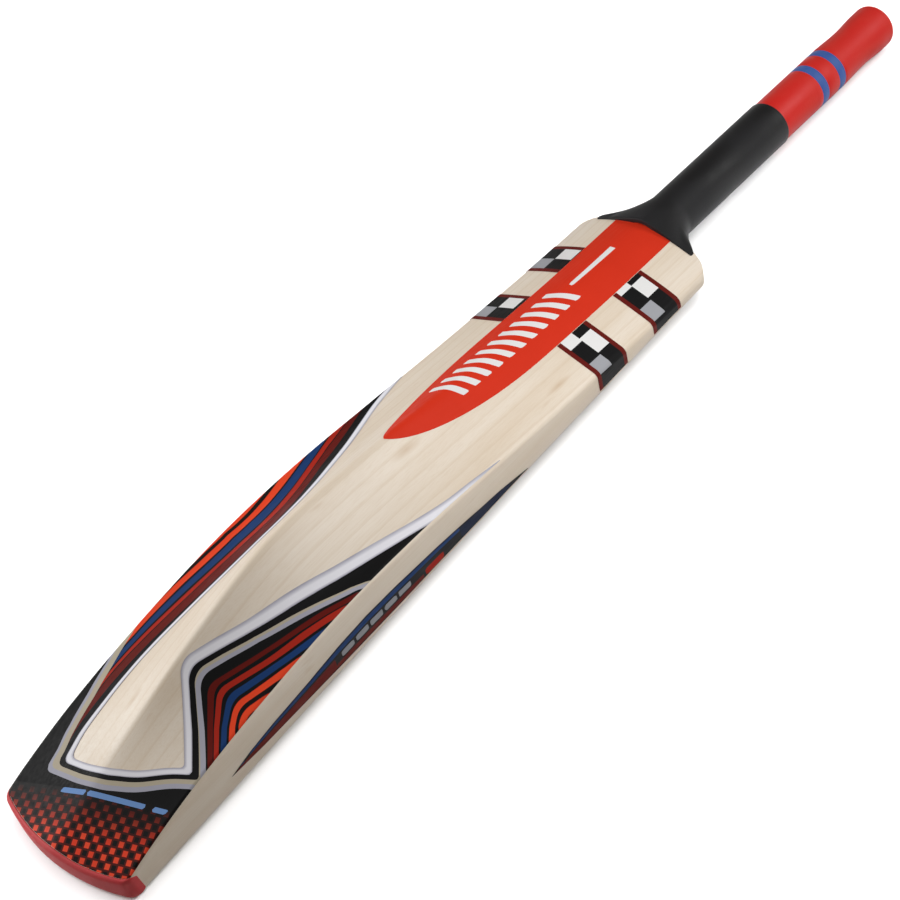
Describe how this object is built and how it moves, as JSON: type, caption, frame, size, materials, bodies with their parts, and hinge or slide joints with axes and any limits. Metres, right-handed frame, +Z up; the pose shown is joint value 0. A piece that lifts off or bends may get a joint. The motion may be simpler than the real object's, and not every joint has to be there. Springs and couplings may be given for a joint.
{
  "type": "cricket bat",
  "caption": "Cricket bat with a ridged willow blade, a cane handle spliced in a V, rubber toe guard, rubber grips and stickers, lying on its face.",
  "frame": {"origin": "on the ground under the middle of the bat as it lies on its face, ridge up", "axes": "+X across the blade to the right of a person who looks from toe to handle with the back up, +Y from the toe to the handle, +Z up from the face to the ridge"},
  "size_m": [0.1086, 0.8583, 0.0812],
  "materials": {
    "willow": "pale straight-grained willow, lightly oiled",
    "toe_rubber": "matt red rubber",
    "cane": "straight cane with fine dark fibres",
    "insert_rubber": "matt black rubber strip",
    "twine": "waxed linen twine, close wound and glued",
    "black_grip_rubber": "soft matt black rubber with a low moulded texture",
    "red_grip_rubber": "soft matt red rubber with a low moulded texture",
    "blue_band_rubber": "soft matt blue rubber",
    "red_sticker": "printed red vinyl with a satin gloss",
    "black_sticker": "printed black vinyl with a satin gloss"
  },
  "bodies": {
    "root": {"blade": "willow", "toe_guard": "toe_rubber", "cane_1_1": "cane", "cane_1_2": "cane", "cane_1_3": "cane", "cane_2_1": "cane", "cane_2_2": "cane", "cane_2_3": "cane", "cane_3_1": "cane", "cane_3_2": "cane", "cane_3_3": "cane", "cane_4_1": "cane", "cane_4_2": "cane", "cane_4_3": "cane", "insert_1": "insert_rubber", "insert_2": "insert_rubber", "insert_3": "insert_rubber", "twine_binding": "twine", "lower_grip": "black_grip_rubber", "upper_grip": "red_grip_rubber", "grip_band_1": "blue_band_rubber", "grip_band_2": "blue_band_rubber", "ridge_label": "red_sticker", "check_upper_left": "black_sticker", "check_upper_right": "black_sticker", "check_lower_left": "black_sticker", "check_lower_right": "black_sticker", "back_graphic": "black_sticker", "side_graphic_left": "black_sticker", "side_graphic_right": "black_sticker"}
  },
  "joints": []
}
